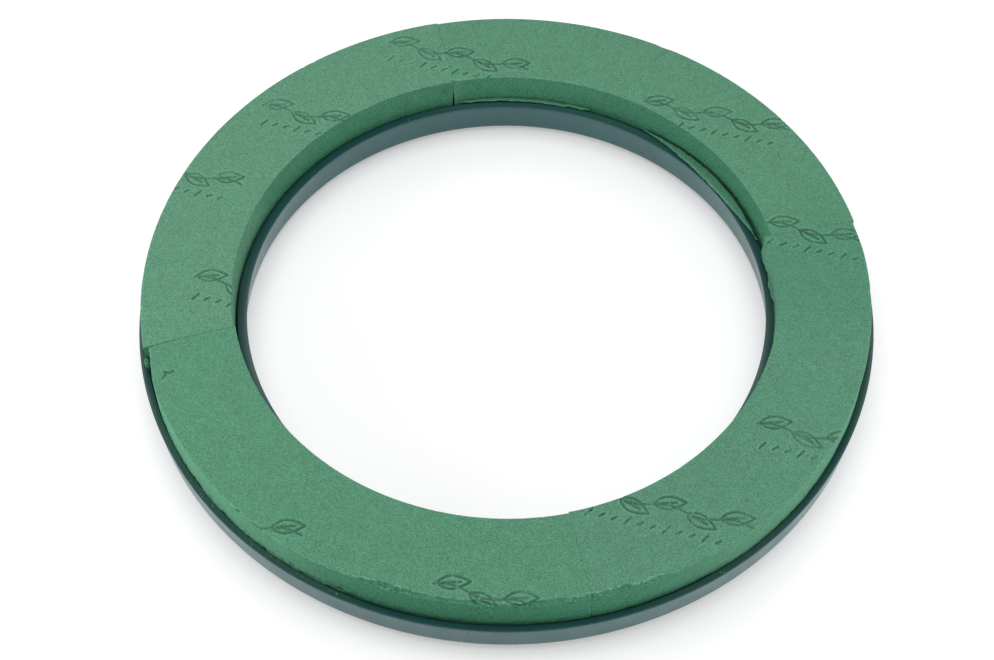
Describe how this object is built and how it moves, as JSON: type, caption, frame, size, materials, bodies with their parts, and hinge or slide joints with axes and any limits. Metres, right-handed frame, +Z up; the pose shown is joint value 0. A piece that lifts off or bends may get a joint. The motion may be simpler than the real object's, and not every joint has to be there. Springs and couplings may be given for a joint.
{
  "type": "floral foam ring in a plastic tray",
  "caption": "Floral foam ring: quarter arcs of crushable green foam bonded into a dark green plastic channel tray, open in the middle.",
  "frame": {"origin": "ring's centre on the tray's flat underside", "axes": "+Z up along the ring's axis, out of the foam's top face; -Y towards the viewer"},
  "size_m": [0.306, 0.306, 0.0327],
  "materials": {
    "tray_plastic": "semi-gloss moulded",
    "foam": "fine open-cell foam, dusty matt",
    "foam_shaving": "fine open-cell foam, dusty matt",
    "hot_melt_glue": "translucent amber, satin"
  },
  "bodies": {
    "root": {"plastic_tray": "tray_plastic", "foam_arc_back_right": "foam", "foam_arc_back_left": "foam", "foam_arc_front_left": "foam", "foam_arc_front_right": "foam", "glue_bead_back_right_inner": "hot_melt_glue", "glue_bead_back_right_outer": "hot_melt_glue", "glue_bead_back_left_inner": "hot_melt_glue", "glue_bead_back_left_outer": "hot_melt_glue", "glue_bead_front_left_inner": "hot_melt_glue", "glue_bead_front_left_outer": "hot_melt_glue", "glue_bead_front_right_inner": "hot_melt_glue", "glue_bead_front_right_outer": "hot_melt_glue", "foam_shaving_right": "foam_shaving", "foam_shaving_back": "foam_shaving"}
  },
  "joints": []
}
